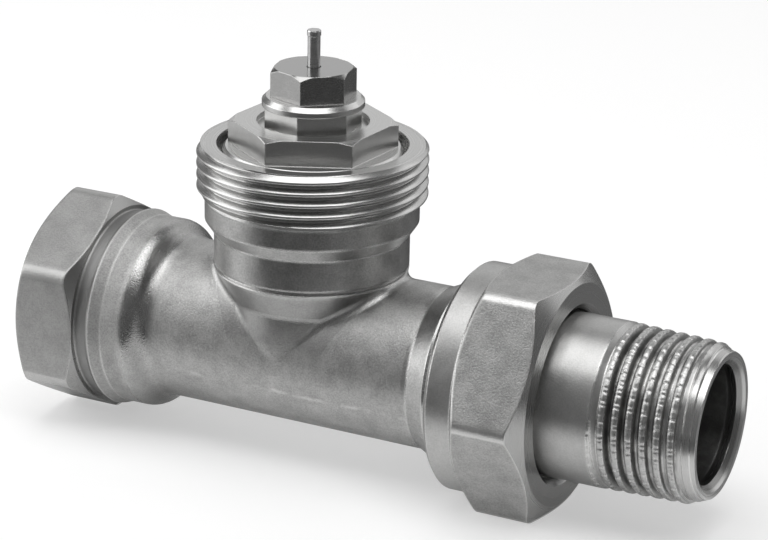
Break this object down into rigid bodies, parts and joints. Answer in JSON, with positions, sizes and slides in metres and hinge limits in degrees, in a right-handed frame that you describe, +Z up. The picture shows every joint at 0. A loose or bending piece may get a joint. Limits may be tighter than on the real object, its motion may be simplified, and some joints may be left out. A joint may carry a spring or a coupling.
{
  "type": "radiator valve",
  "caption": "Straight nickel-plated radiator valve with a threaded neck for a control head, a sprung actuating pin, a union nut and a taper-thread tail.",
  "frame": {"origin": "centre of the inlet mouth, on the face of the inlet hexagon", "axes": "+X along the pipe from the inlet to the radiator tail, +Z up the neck towards the control head"},
  "size_m": [0.095, 0.034, 0.0576],
  "materials": {
    "nickel_forging": "blasted brass forging with matt nickel plating, turned bands bright",
    "nickel_nut": "forged and turned brass, matt nickel plating",
    "nickel_turned": "turned brass, bright nickel plating",
    "stainless_steel": "ground stainless steel",
    "spring_steel": "drawn spring wire",
    "seal_rubber": "smooth black rubber",
    "guide_plastic": "moulded white plastic",
    "plain_brass": "turned brass, unplated"
  },
  "bodies": {
    "body": {"valve_body": "nickel_forging", "bonnet": "nickel_turned", "bonnet_o_ring": "seal_rubber", "gland_housing": "nickel_turned", "housing_o_ring": "seal_rubber", "gland_nut": "nickel_turned", "gland_o_ring_upper": "seal_rubber", "gland_o_ring_lower": "seal_rubber", "gland_spacer": "guide_plastic", "gland_washer": "plain_brass", "stem_bush": "guide_plastic", "return_spring": "spring_steel"},
    "spindle": {"actuating_pin": "stainless_steel", "stem": "stainless_steel", "stem_clip": "spring_steel", "spring_retainer": "stainless_steel", "disc_holder": "plain_brass", "seat_disc": "seal_rubber", "disc_washer": "stainless_steel", "disc_nut": "stainless_steel"},
    "tail": {"union_tail": "nickel_turned", "tail_o_ring": "seal_rubber"},
    "nut": {"union_nut": "nickel_nut"}
  },
  "joints": [
    {"name": "spindle_press", "type": "slide", "parent": "body", "child": "spindle", "axis": [0, 0, -1], "range_m": [0, 0.0032], "stiffness_N_per_m": 6000, "springref_m": -0.002, "deforming": ["return_spring"]},
    {"name": "tail_back_off", "type": "slide", "parent": "body", "child": "tail", "axis": [1, 0, 0], "range_m": [0, 0.00499]},
    {"name": "union_nut_turn", "type": "hinge", "parent": "tail", "child": "nut", "pos_m": [0.067, 0, 0], "axis": [1, 0, 0], "range_deg": [0, 990]}
  ],
  "couplings": [
    {"joint": "union_nut_turn", "follows": "tail_back_off", "rad_per_m": 3463.7}
  ]
}
